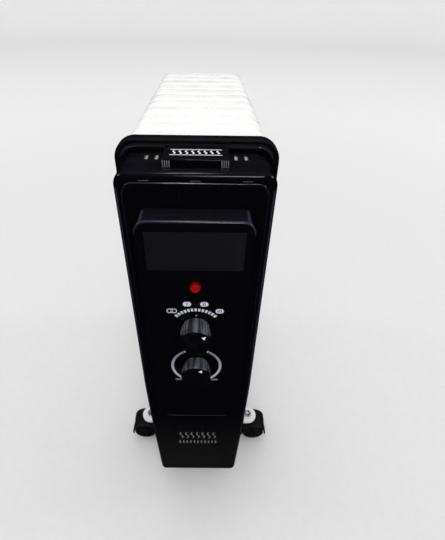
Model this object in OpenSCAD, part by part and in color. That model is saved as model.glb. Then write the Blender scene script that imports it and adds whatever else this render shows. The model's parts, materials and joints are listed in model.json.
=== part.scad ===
// Oil filled radiator heater: a row of hollow pressed-steel fins, a moulded black control
// housing bolted on the first fin, and two cross brackets with swivelling twin-wheel casters.
// Frame: origin on the floor under the middle of the row, +Z up, controls face -Y.

/* [Fins] */
// number of fins in the row
fin_count = 11; // [5:1:13]
// distance from one fin to the next
fin_pitch = 40; // [34:1:48]
// width of a fin across the row
fin_w = 158; // [120:1:180]
// height of a fin
fin_h = 565; // [400:1:640]
// height of the fins' bottom edge above the floor
fin_bottom = 60; // [40:1:90]
// corner radius of a fin
fin_r = 18; // [6:1:30]
// depth of the folded edge on the top and sides of a fin
cap_d = 36; // [20:1:40]
// thickness of one pressed sheet, two of which make a fin
sheet = 0.5; // [0.4:0.1:1.2]
// depth of the oil channels, front to back
channel_d = 14; // [8:1:20]
// outer radius of the necks that join the fins
neck_r = 22; // [14:1:30]

/* [Control housing] */
// width of the front shell at its top
shell_w = 153; // [120:1:180]
// height of the front shell's top
shell_top = 617; // [450:1:680]
// height of the front shell's bottom
shell_bottom = 55; // [40:1:90]
// depth of the front shell
shell_d = 57; // [30:1:80]
// how much each side narrows from the middle to the bottom
shell_taper = 8.4; // [0:0.2:20]
// width of the lip that wraps the first fin
lip_w = 172; // [160:1:200]
// top of that lip
lip_top = 629; // [460:1:690]
// bottom of that lip
lip_bottom = 50; // [36:1:90]
// depth of that lip
lip_d = 14.5; // [8:0.5:30]
// wall thickness of the mouldings
wall = 2.5; // [1.5:0.1:4]

/* [Console] */
// width of the console where it meets the front shell
console_w = 114; // [80:1:130]
// top of the console
console_top = 584; // [420:1:640]
// bottom of the console
console_bottom = 258; // [120:1:380]
// how far the console stands out of the front shell
console_d = 26; // [8:1:40]
// height of the selector knob's centre
selector_z = 451; // [300:1:540]
// height of the thermostat knob's centre
thermostat_z = 386; // [240:1:480]
// height of the pilot lamp's centre
lamp_z = 511; // [300:1:560]
// depth of the selector knob
selector_knob_d = 25; // [12:1:34]
// depth of the thermostat knob
thermostat_knob_d = 20; // [12:1:34]
// radius of a knob's grip
knob_r = 17; // [12:0.5:26]

/* [Casters] */
// radius of a wheel
wheel_r = 22; // [12:1:30]
// width of a wheel
wheel_w = 12.6; // [6:0.2:20]
// distance of a caster's swivel axis from the middle plane
swivel_x = 101; // [85:1:140]
// how far the axle trails behind the swivel axis
trail = 13; // [6:1:25]

/* [Assembly] */
// name of the piece to draw, or all

/* [Hidden] */
$fn = 64;
eps = 0.01;
paint_white = [0.93, 0.93, 0.91];
gloss_black = [0.03, 0.03, 0.035];
satin_black = [0.05, 0.05, 0.055];
bare_steel = [0.70, 0.70, 0.72];
brass = [0.72, 0.58, 0.30];
ceramic = [0.90, 0.88, 0.82];
lens_red = [0.75, 0.05, 0.04];

// depths along the row, counted back from the front shell's front plane
knob_gap = 0.6;
first_fin = shell_d + 23;
row_d = (fin_count - 1) * fin_pitch;
front_reach = console_d + knob_gap + selector_knob_d;
front_y = (front_reach - first_fin - row_d - cap_d / 2) / 2;
back_y = front_y + shell_d;
plate_y = back_y + 6.5;
plate_t = 1.2;
panel_y = front_y - console_d;

// heights of the two oil headers
header_inset = 48;
low_header = fin_bottom + header_inset;
high_header = fin_bottom + fin_h - header_inset;
neck_wall = 2 * sheet;

// the clamps sit in the first and the last groove between fins, and the brackets reach inwards
clamp_y = [for (i = [0, fin_count - 2]) fin_y(i) + fin_pitch / 2];
clamp_offset = 10;
bracket_y = [clamp_y[0] + clamp_offset, clamp_y[1] - clamp_offset];
bracket_top = fin_bottom;
bracket_t = 2;
bracket_rim = 4;
bracket_end_r = 17;
clamp_rod_r = 2.5;
clamp_r = neck_r + 0.5 + clamp_rod_r;
stem_r = 4;
run_gap = 0.05;
web_d = 13;
axle_r = 2.5;
wheel_inner_y = web_d / 2 + 0.8;
hood_d = 42;
hood_r = wheel_r + 4;
hood_top = 51;

// raised panel of the front shell
panel_t = 1.2;

// screws of the case
screw_r = 1.9;
screw_len = 16;
screw_head_r = 3.4;
screw_head_t = 2;
shell_post_x = 47.5;
shell_post_z = [300, 540];
plate_post_x = 60;
plate_post_z = [150, 500];

function fin_y(i) = front_y + first_fin + i * fin_pitch;
function two_digits(i) = i < 10 ? str("0", i) : str(i);
function fin_name(i) = str("fin_", two_digits(i + 1));
corners = ["front_left", "front_right", "rear_left", "rear_right"];
function corner_side(c) = c % 2 == 0 ? -1 : 1;
function corner_y(c) = bracket_y[c < 2 ? 0 : 1];

// half width of the front shell at height z
taper_top = 310;
taper_power = 1.35;
function shell_half(z) = z >= taper_top ? shell_w / 2
  : shell_w / 2 - shell_taper * pow((taper_top - z) / (taper_top - shell_bottom), taper_power);

// profile drawn in X and Z, extruded from y back by depth
module along_y(y, depth) {
  translate([0, y + depth, 0])
    rotate([90, 0, 0])
      linear_extrude(depth)
        children();
}

// round bar along Y, from y back by depth
module rod_y(x, y, z, r, depth) {
  translate([x, y, z])
    rotate([-90, 0, 0])
      cylinder(h = depth, r = r);
}

module rounded(w, h, r) {
  square([w - 2 * r, h], center = true);
  square([w, h - 2 * r], center = true);
  for (x = [-1, 1], y = [-1, 1])
    translate([x * (w / 2 - r), y * (h / 2 - r)])
      circle(r);
}

module rounded_between(w, low, high, r) {
  translate([0, (low + high) / 2])
    rounded(w, high - low, r);
}

// ---- fins ----

module fin_profile(inset) {
  rounded_between(fin_w - 2 * inset, fin_bottom + inset, fin_bottom + fin_h - inset, fin_r - inset);
}

module channel_profile(inset) {
  header_w = 112;
  header_h = 64;
  header_r = 18;
  bar_w = 24;
  bar_pitch = 40;
  for (z = [low_header, high_header])
    translate([0, z])
      rounded(header_w - 2 * inset, header_h - 2 * inset, header_r - inset);
  for (x = [-bar_pitch, 0, bar_pitch])
    translate([x - bar_w / 2 + inset, low_header])
      square([bar_w - 2 * inset, high_header - low_header]);
}

// neck on one face of a fin: side -1 is the front, 1 the back
module neck(side, z, r, reach) {
  start = side < 0 ? -reach : channel_d / 2 - sheet;
  rod_y(0, start, z, r, reach - channel_d / 2 + sheet);
}

module fin_shape() {
  bottom_lip_d = 14;
  along_y(-sheet, 2 * sheet)
    fin_profile(0);
  along_y(-bottom_lip_d / 2, bottom_lip_d)
    difference() {
      fin_profile(0);
      fin_profile(sheet);
    }
  along_y(-cap_d / 2, cap_d)
    difference() {
      fin_profile(0);
      fin_profile(sheet);
      translate([-fin_w / 2, fin_bottom - eps])
        square([fin_w, fin_r + eps]);
    }
  along_y(-channel_d / 2, channel_d)
    channel_profile(0);
}

module fin(i) {
  first = i == 0;
  last = i == fin_count - 1;
  heater_reach = fin_y(0) - plate_y - plate_t;
  filler_r = 9;
  filler_reach = 11;
  stud_r = 6;
  color(paint_white)
    translate([0, fin_y(i), 0])
      difference() {
        union() {
          fin_shape();
          for (z = [low_header, high_header]) {
            if (!first)
              neck(-1, z, neck_r, fin_pitch / 2);
            if (!last)
              neck(1, z, neck_r, fin_pitch / 2);
          }
          if (first) {
            neck(-1, low_header, neck_r, heater_reach);
            neck(-1, high_header, stud_r, heater_reach);
          }
          if (last)
            neck(1, high_header, filler_r, filler_reach);
        }
        along_y(sheet - channel_d / 2, channel_d - 2 * sheet)
          channel_profile(sheet);
        for (z = [low_header, high_header]) {
          if (!first)
            rod_y(0, -fin_pitch / 2 - eps, z, neck_r - neck_wall, fin_pitch / 2 + eps);
          if (!last)
            rod_y(0, 0, z, neck_r - neck_wall, fin_pitch / 2 + eps);
        }
        if (first) {
          rod_y(0, -heater_reach - eps, low_header, neck_r - neck_wall, heater_reach);
          rod_y(0, -heater_reach - eps, high_header, screw_r + run_gap, heater_reach - channel_d / 2);
        }
        if (last)
          rod_y(0, 0, high_header, filler_r / 2, filler_reach + eps);
      }
}

// threaded plug that closes the oil filler hole in the last fin
module oil_filler_plug() {
  head_r = 8;
  head_t = 4;
  seat_y = fin_y(fin_count - 1) + 11;
  color(bare_steel) {
    translate([0, seat_y + head_t, high_header])
      rotate([90, 0, 0])
        cylinder(h = head_t, r = head_r, $fn = 6);
    rod_y(0, seat_y - 8, high_header, 4.45, 8 + eps);
  }
}

// ---- heating element and back plate ----

// two U-shaped tubes brazed into one flange, in the low header
module heating_element() {
  tube_r = 4;
  tube_x = 9;
  flange_y = plate_y - 5.5;
  far_y = fin_y(fin_count - 1) - 25;
  color(brass) {
    rod_y(0, flange_y, low_header, 24, 4);
    for (z = [low_header - tube_x, low_header + tube_x]) {
      for (x = [-tube_x, tube_x]) {
        rod_y(x, flange_y + eps, z, tube_r, far_y - flange_y);
        rod_y(x, flange_y - 7, z, tube_r, 7 + eps);
        rod_y(x, flange_y - 15, z, 1.5, 8 + eps);
      }
      translate([0, far_y, z])
        rotate_extrude(angle = 180)
          translate([tube_x, 0])
            circle(tube_r);
    }
  }
}

module element_gasket() {
  color([0.75, 0.35, 0.22])
    difference() {
      rod_y(0, plate_y - 1.5, low_header, 24, 1.5);
      rod_y(0, plate_y - 1.5 - eps, low_header, 18, 1.5 + 2 * eps);
    }
}

// steel plate between the first fin and the housing, held by the element's flange
module mounting_plate() {
  color(bare_steel)
    difference() {
      along_y(plate_y, plate_t)
        rounded_between(142, 66, 612, 10);
      rod_y(0, plate_y - eps, low_header, 18, plate_t + 2 * eps);
      rod_y(0, plate_y - eps, high_header, screw_r + 0.2, plate_t + 2 * eps);
      for (x = [-plate_post_x, plate_post_x], z = plate_post_z)
        rod_y(x, plate_y - eps, z, screw_r + 0.05, plate_t + 2 * eps);
    }
}

module thermal_cutout() {
  cutout_z = 250;
  color([0.35, 0.30, 0.24])
    rod_y(0, plate_y - 8, cutout_z, 8, 8);
  color(brass)
    for (x = [-3.5, 3.5])
      translate([x - 1, plate_y - 14, cutout_z - 3])
        cube([0.8, 6 + eps, 6]);
}

// ---- control housing ----

// rear moulding: stepped lip round the first fin, wall with a window, and screw posts
module rear_housing() {
  step_w = 165;
  step_drop = 6;
  step_d = 4.5;
  post_r = 4;
  long_post = shell_d - wall - panel_t;
  step_low = lip_bottom + step_drop;
  step_high = lip_top - step_drop;
  lip_y = back_y + step_d;
  color(satin_black)
    difference() {
      union() {
        along_y(lip_y, lip_d)
          difference() {
            rounded_between(lip_w, lip_bottom, lip_top, 22);
            rounded_between(lip_w - 2 * wall, lip_bottom + wall, lip_top - wall, 22 - wall);
          }
        along_y(lip_y, wall)
          difference() {
            rounded_between(lip_w, lip_bottom, lip_top, 22);
            rounded_between(fin_w + 3, fin_bottom - 1, fin_bottom + fin_h + 0.8, fin_r + 1.5);
          }
        along_y(back_y, step_d + eps)
          difference() {
            rounded_between(step_w, step_low, step_high, 17);
            rounded_between(step_w - 2 * wall, step_low + wall, step_high - wall, 17 - wall);
          }
        along_y(back_y, wall)
          rounded_between(step_w, step_low, step_high, 17);
        for (x = [-shell_post_x, shell_post_x], z = shell_post_z)
          rod_y(x, back_y - long_post, z, post_r, long_post + eps);
        for (x = [-plate_post_x, plate_post_x], z = plate_post_z)
          rod_y(x, back_y, z, post_r + 0.5, plate_y - back_y);
      }
      translate([-36, back_y - eps, 70])
        cube([72, wall + 2 * eps, 220]);
      for (x = [-shell_post_x, shell_post_x], z = shell_post_z)
        rod_y(x, back_y - long_post - eps, z, screw_r + run_gap, screw_len);
      for (x = [-plate_post_x, plate_post_x], z = plate_post_z)
        rod_y(x, back_y - eps, z, screw_r + 0.2, plate_y - back_y + 2 * eps);
      rod_y(0, back_y - eps, high_header, screw_head_r + 2, wall + 2 * eps);
    }
}

// outline of the front shell, moved in by inset
function arc(x, z, r, from, to, steps) =
  [for (k = [0:steps]) let (a = from + (to - from) * k / steps) [x + r * cos(a), z + r * sin(a)]];
function shell_side(inset, side, heights) =
  [for (z = heights) [side * (shell_half(z) - inset), z]];

module shell_outline(inset) {
  top_r = 14 - inset / 2;
  bottom_r = 6;
  half_top = shell_w / 2 - inset;
  top = shell_top - inset;
  low = shell_bottom + 0.3 * inset;
  half_low = shell_half(low + bottom_r) - inset;
  rises = [for (k = [1:6]) low + bottom_r + (taper_top - low - bottom_r) * k / 6];
  falls = [for (k = [5:-1:0]) rises[k]];
  polygon(concat(
    arc(half_low - bottom_r, low + bottom_r, bottom_r, -90, 0, 5),
    shell_side(inset, 1, rises),
    arc(half_top - top_r, top - top_r, top_r, 0, 90, 8),
    arc(-half_top + top_r, top - top_r, top_r, 90, 180, 8),
    shell_side(inset, -1, falls),
    arc(-half_low + bottom_r, low + bottom_r, bottom_r, 180, 270, 5)));
}

module shell_slice(depth, inset, thick = 0.2) {
  along_y(front_y + depth, thick)
    shell_outline(inset);
}

module front_shell() {
  panel_inset = 9;
  slot_z = shell_top - 9;
  gland_y = front_y + 30;
  color(gloss_black)
    difference() {
      union() {
        along_y(front_y, panel_t + 1)
          shell_outline(panel_inset);
        hull() {
          shell_slice(panel_t, 8);
          shell_slice(2.4, 3.6);
          shell_slice(4.5, 1.2);
          shell_slice(8, 0, shell_d - 8);
        }
      }
      hull() {
        shell_slice(panel_t + wall, 8);
        shell_slice(9, wall, shell_d);
      }
      along_y(front_y - 1, 10)
        rounded_between(84, 286, 572, 6);
      for (x = [-shell_post_x, shell_post_x], z = shell_post_z)
        rod_y(x, front_y - 1, z, screw_r + 0.2, 10);
      for (x = [-49, -39, 39, 49])
        translate([x - 1.5, front_y + 37, shell_top - 10])
          cube([3, 18, 20]);
      for (x = [-47.5, 0, 47.5])
        translate([x - 5, front_y - 1, slot_z])
          cube([10, 8, 2.4]);
      translate([0, gland_y, shell_bottom - 1])
        cylinder(h = 10, r = 8.2);
    }
}

// white steel shield under the air slots
module heat_shield() {
  color(paint_white) {
    translate([-60, back_y - 1.2, 560])
      cube([120, 1.2, 46]);
    translate([-60, back_y - 24, 606])
      cube([120, 24, 1.2]);
  }
}

// snap-in cover on top of the front shell, ribbed at both ends of its front
module top_plate() {
  cover_w = 64;
  cover_d = 41;
  cover_t = 7.6;
  rib_w = 1.2;
  color(gloss_black) {
    translate([0, front_y + 35.5, shell_top])
      linear_extrude(cover_t)
        rounded(cover_w, cover_d, 2);
    for (side = [-1, 1], k = [0:4])
      translate([side * (cover_w / 2 - 3 - 2.4 * k) - rib_w / 2, front_y + 14.3, shell_top])
        cube([rib_w, 1, cover_t - 1]);
  }
}

module console_slice(depth, inset) {
  along_y(front_y - depth, eps)
    rounded_between(console_w - 2 * inset, console_bottom + inset, console_top - inset, 13 - inset / 2, $fn = 32);
}

module console() {
  inlay_low = 529.6;
  inlay_high = 573.4;
  screw_x = 12;
  color(gloss_black)
    difference() {
      hull() {
        console_slice(eps, 0);
        console_slice(console_d - 3.5, 0.4);
        console_slice(console_d - 1.2, 1.2);
        console_slice(console_d - eps, 3);
      }
      hull() {
        console_slice(-1, wall);
        console_slice(console_d - 5, wall + 0.4);
        console_slice(console_d - wall, wall + 1.5);
      }
      along_y(panel_y - 1, 1.8)
        rounded_between(95.6, inlay_low, inlay_high, 1.5);
      along_y(panel_y - 1, 1.4)
        rounded_between(86, 274, inlay_low - 4, 5);
      rod_y(0, panel_y - 1, lamp_z, 5.6, 6);
      for (z = [selector_z, thermostat_z]) {
        rod_y(0, panel_y - 1, z, 3.6, 6);
        for (x = [-screw_x, screw_x])
          rod_y(x, panel_y - 1, z, 1.6, 6);
      }
    }
}

module inlay_panel() {
  color([0.23, 0.23, 0.26])
    along_y(panel_y - 0.2, 1)
      rounded_between(95, 530, 573, 1.2);
}

module pilot_lens() {
  dome_r = 5.9;
  rise = 8;
  color(lens_red)
    difference() {
      union() {
        translate([0, panel_y + dome_r - rise, lamp_z])
          sphere(dome_r);
        rod_y(0, panel_y + dome_r - rise, lamp_z, dome_r, rise - dome_r - 0.6);
        rod_y(0, panel_y - 1, lamp_z, 5.5, 7);
      }
      rod_y(0, panel_y - 1, lamp_z, 4, 8);
    }
}

module pilot_lamp() {
  color([0.95, 0.6, 0.4]) {
    rod_y(0, panel_y, lamp_z, 3.6, 14);
    for (x = [-1.6, 1.6])
      rod_y(x, panel_y + 14 - eps, lamp_z, 0.6, 6);
  }
}

// ---- controls ----

// rectangular switch block with two lugs of terminals behind it
module selector_switch() {
  color(satin_black)
    difference() {
      translate([-16, panel_y + wall, selector_z - 17])
        cube([32, 22, 34]);
      rod_y(0, panel_y, selector_z, 3 + run_gap, 18);
      for (x = [-12, 12])
        rod_y(x, panel_y, selector_z, 1.35, 10);
    }
  color(brass)
    for (x = [-11, -4, 3, 10], z = [selector_z - 9, selector_z + 7])
      translate([x, panel_y + wall + 22 - eps, z])
        cube([0.8, 7, 4.8]);
}

// capillary-free bimetal thermostat: ceramic base, steel frame and contact blades
module thermostat() {
  base_y = panel_y + wall;
  color(bare_steel)
    difference() {
      translate([-16, base_y, thermostat_z - 14])
        cube([32, 3, 28]);
      rod_y(0, panel_y, thermostat_z, 3 + run_gap, 8);
      for (x = [-12, 12])
        rod_y(x, panel_y, thermostat_z, 1.35, 10);
    }
  color(ceramic)
    difference() {
      rod_y(0, base_y + 3 - eps, thermostat_z, 8.5, 14);
      rod_y(0, panel_y, thermostat_z, 3 + run_gap, 15);
    }
  color(brass)
    for (z = [thermostat_z - 6, thermostat_z + 5])
      translate([-3, base_y + 17 - 2 * eps, z])
        cube([6, 16, 0.8]);
}

// D-cut shaft from inside a knob of depth knob_d back into its switch
module shaft(z, knob_d) {
  shaft_front = panel_y - knob_d + 5;
  shaft_len = knob_d + 9;
  color(bare_steel)
    difference() {
      rod_y(0, shaft_front, z, 3, shaft_len);
      translate([-4, shaft_front - eps, z + 2])
        cube([8, 12, 4]);
    }
}

// round knob: ribbed grip, hollow back and hub with a D-shaped socket
module knob(z, knob_d) {
  back = panel_y - knob_gap;
  rib_count = 30;
  rib_r = 0.9;
  cap_t = 3;
  color(gloss_black)
    difference() {
      union() {
        rod_y(0, back - knob_d, z, knob_r, knob_d);
        for (k = [0:rib_count - 1])
          rod_y((knob_r - 0.2) * sin(360 * k / rib_count), back - knob_d + 1.2,
                z + (knob_r - 0.2) * cos(360 * k / rib_count), rib_r, knob_d - 1.2);
      }
      difference() {
        rod_y(0, back - knob_d + cap_t, z, knob_r - 2.2, knob_d);
        rod_y(0, back - knob_d, z, 6, knob_d - 4);
      }
      difference() {
        rod_y(0, panel_y - knob_d + 4.8, z, 3.02, knob_d);
        translate([-4, panel_y - knob_d + 4, z + 2.02])
          cube([8, 12.8, 4]);
      }
    }
}

module switch_screws() {
  color(bare_steel)
    for (x = [-12, 12], z = [selector_z, thermostat_z]) {
      rod_y(x, panel_y - 1.4, z, 2.7, 1.8);
      rod_y(x, panel_y, z, 1.3, 8);
    }
}

// ---- tip-over switch ----

tilt_z = 200;
tilt_case_w = 40;
tilt_case_h = 38;
tilt_case_d = 20;
tilt_pivot_z = tilt_z + 12;
tilt_y = plate_y - 2;

module tilt_switch_case() {
  inner = tilt_case_w - 4;
  color(ceramic) {
    difference() {
      translate([-tilt_case_w / 2, tilt_y - tilt_case_d, tilt_z - tilt_case_h / 2])
        cube([tilt_case_w, tilt_case_d, tilt_case_h]);
      translate([-inner / 2, tilt_y - tilt_case_d - 1, tilt_z - tilt_case_h / 2 + 2])
        cube([inner, tilt_case_d - 1, tilt_case_h - 4]);
    }
    rod_y(0, tilt_y - 17, tilt_pivot_z, 1.5, 16);
    rod_y(0, tilt_y - 17, tilt_pivot_z, 2.6, 1);
    translate([-5, tilt_y - eps, tilt_z - 6])
      cube([10, 2, 12]);
  }
}

module tilt_pendulum() {
  weight_y = tilt_y - 15;
  weight_d = 11;
  drop = 16;
  color(bare_steel)
    difference() {
      union() {
        rod_y(0, weight_y, tilt_pivot_z, 3.5, weight_d);
        translate([-1.5, weight_y, tilt_pivot_z - drop])
          cube([3, weight_d, drop]);
        rod_y(0, weight_y, tilt_pivot_z - drop, 7, weight_d);
      }
      rod_y(0, weight_y - 1, tilt_pivot_z, 1.5 + run_gap, weight_d + 2);
    }
}

// ---- wiring ----

terminal_z = 345;

module terminal_block() {
  color(ceramic)
    difference() {
      translate([-24, back_y - 14, terminal_z - 9])
        cube([48, 14, 18]);
      for (x = [-16, 0, 16])
        translate([x, back_y - 15, terminal_z])
          rotate([-90, 0, 0])
            cylinder(h = 9, r = 3);
    }
}

// insulated wire swept through a list of points
function unit(v) = v / norm(v);
function heading(points, k) = unit(points[min(k + 1, len(points) - 1)] - points[max(k - 1, 0)]);
function ring(centre, along, r, sides) =
  let (u = unit(cross(along, [1, 0, 0])), v = cross(along, u))
  [for (s = [0:sides - 1]) centre + r * (u * cos(360 * s / sides) + v * sin(360 * s / sides))];

module wire(points) {
  wire_r = 1.3;
  sides = 8;
  last = len(points) - 1;
  rings = [for (k = [0:last]) each ring(points[k], heading(points, k), wire_r, sides)];
  caps = [[for (s = [0:sides - 1]) s], [for (s = [sides - 1:-1:0]) last * sides + s]];
  walls = [for (k = [0:last - 1], s = [0:sides - 1])
    let (a = k * sides + s, d = k * sides + (s + 1) % sides, b = a + sides, c = d + sides)
    each [[a, b, c], [a, c, d]]];
  polyhedron(points = rings, faces = concat(caps, walls), convexity = 4);
}

module wiring() {
  term_y = back_y - 14.5;
  low_y = back_y - 17;
  block_front = terminal_z + 16;
  color([0.55, 0.12, 0.10]) {
    for (x = [-1, 1])
      wire([[9 * x, low_y, 118], [30 * x, low_y - 10, 150], [30 * x, low_y - 8, 300],
            [16 * x, term_y - 6, terminal_z - 8], [16 * x, term_y, terminal_z]]);
    wire([[0, front_y + 30, 90], [0, front_y + 24, 150], [0, term_y - 14, 300],
          [0, term_y - 6, terminal_z - 8], [0, term_y, terminal_z]]);
    wire([[-28, back_y - 8, block_front], [-30, back_y - 8, 420],
          [-20, front_y + 14, 444], [-10.6, front_y + 7.6, 444.5]]);
    wire([[28, back_y - 8, block_front], [30, back_y - 8, 366],
          [22, front_y + 20, 380], [4.5, front_y + 12, 380]]);
  }
}

// bush in the shell's floor where the mains lead would enter
module cord_gland() {
  gland_y = front_y + 30;
  color(satin_black)
    difference() {
      translate([0, gland_y, 0]) {
        translate([0, 0, shell_bottom - 4])
          cylinder(h = 4, r = 11);
        translate([0, 0, shell_bottom - eps])
          cylinder(h = 9, r = 8);
        translate([0, 0, shell_bottom + wall])
          cylinder(h = 4, r = 11, $fn = 6);
      }
      translate([0, gland_y, shell_bottom - 5])
        cylinder(h = 20, r = 3.6);
    }
}

module case_screw(x, seat_y, z, length) {
  rod_y(x, seat_y - screw_head_t, z, screw_head_r, screw_head_t);
  rod_y(x, seat_y - eps, z, screw_r, length);
}

module case_screws() {
  color(bare_steel) {
    for (x = [-shell_post_x, shell_post_x], z = shell_post_z)
      case_screw(x, front_y, z, screw_len);
    for (x = [-plate_post_x, plate_post_x], z = plate_post_z)
      case_screw(x, back_y, z, screw_len);
    case_screw(0, plate_y, high_header, screw_len / 2);
  }
}

// ---- brackets and casters ----

module bracket_outline(inset) {
  square([2 * swivel_x, 2 * (bracket_end_r - inset)], center = true);
  for (x = [-swivel_x, swivel_x])
    translate([x, 0])
      circle(bracket_end_r - inset);
}

module bracket(k) {
  color(paint_white)
    translate([0, bracket_y[k], 0])
      difference() {
        union() {
          translate([0, 0, bracket_top - bracket_t])
            linear_extrude(bracket_t)
              bracket_outline(0);
          translate([0, 0, bracket_top - bracket_t - bracket_rim])
            linear_extrude(bracket_rim + eps)
              difference() {
                bracket_outline(0);
                bracket_outline(1.6);
              }
        }
        for (x = [-swivel_x, swivel_x])
          translate([x, 0, 40])
            cylinder(h = 30, r = stem_r + 0.1);
        for (x = [-clamp_r, clamp_r])
          translate([x, clamp_y[k] - bracket_y[k], 40])
            cylinder(h = 30, r = clamp_rod_r + 0.4);
      }
}

// U-bolts over the low necks
module clamp_bolts() {
  leg_end = bracket_top - 12;
  color(bare_steel)
    for (y = clamp_y)
      translate([0, y, low_header]) {
        rotate([90, 0, 0])
          rotate_extrude(angle = 180)
            translate([clamp_r, 0])
              circle(clamp_rod_r);
        for (x = [-clamp_r, clamp_r])
          translate([x, 0, leg_end - low_header])
            cylinder(h = low_header - leg_end + eps, r = clamp_rod_r);
      }
}

module wing_nuts() {
  nut_top = bracket_top - bracket_t;
  color(bare_steel)
    for (y = clamp_y, x = [-clamp_r, clamp_r])
      translate([x, y, nut_top])
        difference() {
          union() {
            translate([0, 0, -5])
              cylinder(h = 5, r = 5);
            for (a = [0, 180])
              rotate([0, 0, a])
                translate([4, -0.8, -9])
                  cube([6.5, 1.6, 8]);
          }
          translate([0, 0, -10])
            cylinder(h = 11, r = clamp_rod_r + 0.02);
        }
}

// swivel pins, fixed in the brackets
module caster_stems() {
  stem_low = 25;
  stem_high = bracket_top + 6;
  color(bare_steel)
    for (x = [-swivel_x, swivel_x], y = bracket_y)
      translate([x, y, 0]) {
        translate([0, 0, stem_low])
          cylinder(h = stem_high - stem_low, r = stem_r);
        translate([0, 0, hood_top + 0.4])
          cylinder(h = bracket_top - bracket_t - hood_top - 0.4, r = 6.5);
      }
}

module dome_nuts() {
  nut_h = 5;
  dome_r = 6.2;
  color(bare_steel)
    for (x = [-swivel_x, swivel_x], y = bracket_y)
      translate([x, y, bracket_top])
        difference() {
          union() {
            cylinder(h = nut_h, r = 7.5, $fn = 6);
            intersection() {
              translate([0, 0, nut_h - 1])
                sphere(dome_r);
              translate([0, 0, nut_h - 1])
                cylinder(h = 8, r = dome_r);
            }
          }
          translate([0, 0, -1])
            cylinder(h = 7.2, r = stem_r + 0.02);
        }
}

// body of a twin-wheel caster: web between the wheels, arched hood, socket for the stem
module caster_hood(c) {
  axle_x = corner_side(c) * trail;
  hood_skin = 2.2;
  socket_x = 8;
  socket_low = 24;
  color(satin_black)
    translate([0, corner_y(c), 0])
      difference() {
        translate([corner_side(c) * swivel_x, 0, 0])
          union() {
            along_y(-hood_d / 2, hood_d)
              difference() {
                translate([axle_x, wheel_r])
                  circle(hood_r);
                translate([axle_x, wheel_r])
                  circle(hood_r - hood_skin);
                translate([axle_x - 40, -30])
                  square([80, 30 + wheel_r - 4]);
              }
            along_y(-web_d / 2, web_d) {
              difference() {
                translate([axle_x, wheel_r])
                  circle(hood_r - hood_skin + eps);
                translate([axle_x - 40, -30])
                  square([80, 30 + wheel_r - 12]);
              }
              translate([-socket_x, wheel_r])
                square([2 * socket_x, hood_top - wheel_r]);
            }
            translate([0, 0, wheel_r + wheel_r + 1])
              cylinder(h = hood_top - 2 * wheel_r - 1, r = 9);
          }
        translate([corner_side(c) * swivel_x, 0, socket_low])
          cylinder(h = 40, r = stem_r + run_gap);
        rod_y(corner_side(c) * (swivel_x + trail), -30, wheel_r, axle_r, 60);
      }
}

module caster_axle(c) {
  end_y = wheel_inner_y + wheel_w + 0.4;
  color(bare_steel)
    translate([0, corner_y(c), 0]) {
      rod_y(corner_side(c) * (swivel_x + trail), -end_y, wheel_r, axle_r, 2 * end_y);
      for (y = [-end_y - 0.8, end_y])
        rod_y(corner_side(c) * (swivel_x + trail), y, wheel_r, 4, 0.8);
    }
}

// side -1 is the wheel nearer the controls, 1 the one behind it
module caster_wheel(c, side) {
  x = corner_side(c) * (swivel_x + trail);
  near = corner_y(c) + (side > 0 ? wheel_inner_y : -wheel_inner_y - wheel_w);
  dish_y = side > 0 ? near + wheel_w - 2.5 : near - eps;
  edge = 1.2;
  color(satin_black)
    difference() {
      union() {
        rod_y(x, near + edge, wheel_r, wheel_r, wheel_w - 2 * edge);
        rod_y(x, near, wheel_r, wheel_r - edge, wheel_w);
      }
      difference() {
        rod_y(x, dish_y, wheel_r, wheel_r - 5, 2.5 + eps);
        rod_y(x, dish_y - 1, wheel_r, 6, 6);
      }
      rod_y(x, near - 1, wheel_r, axle_r + run_gap, wheel_w + 2);
    }
}

function caster_nodes(prefix) = [for (name = corners) str(prefix, name)];

for (i = [0:fin_count - 1])
  fin(i);
oil_filler_plug();
heating_element();
element_gasket();
mounting_plate();
thermal_cutout();
rear_housing();
front_shell();
heat_shield();
top_plate();
console();
inlay_panel();
pilot_lens();
pilot_lamp();
selector_switch();
shaft(selector_z, selector_knob_d);  // selector_shaft
knob(selector_z, selector_knob_d);  // selector_knob
thermostat();
shaft(thermostat_z, thermostat_knob_d);  // thermostat_shaft
knob(thermostat_z, thermostat_knob_d);  // thermostat_knob
switch_screws();
tilt_switch_case();
tilt_pendulum();
terminal_block();
wiring();
cord_gland();
case_screws();
bracket(0);  // front_bracket
bracket(1);  // rear_bracket
clamp_bolts();
wing_nuts();
caster_stems();
dome_nuts();
for (c = [0:3]) {
  caster_hood(c);
  caster_axle(c);
  caster_wheel(c, -1);
  caster_wheel(c, 1);
}
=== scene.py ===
"""Looks of an oil filled radiator heater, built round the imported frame.

Sizes are in millimetres in the tables and builders below, and become metres in make_mesh().
"""
import json
import math

import bmesh
import bpy
from mathutils import Matrix, Vector


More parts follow.
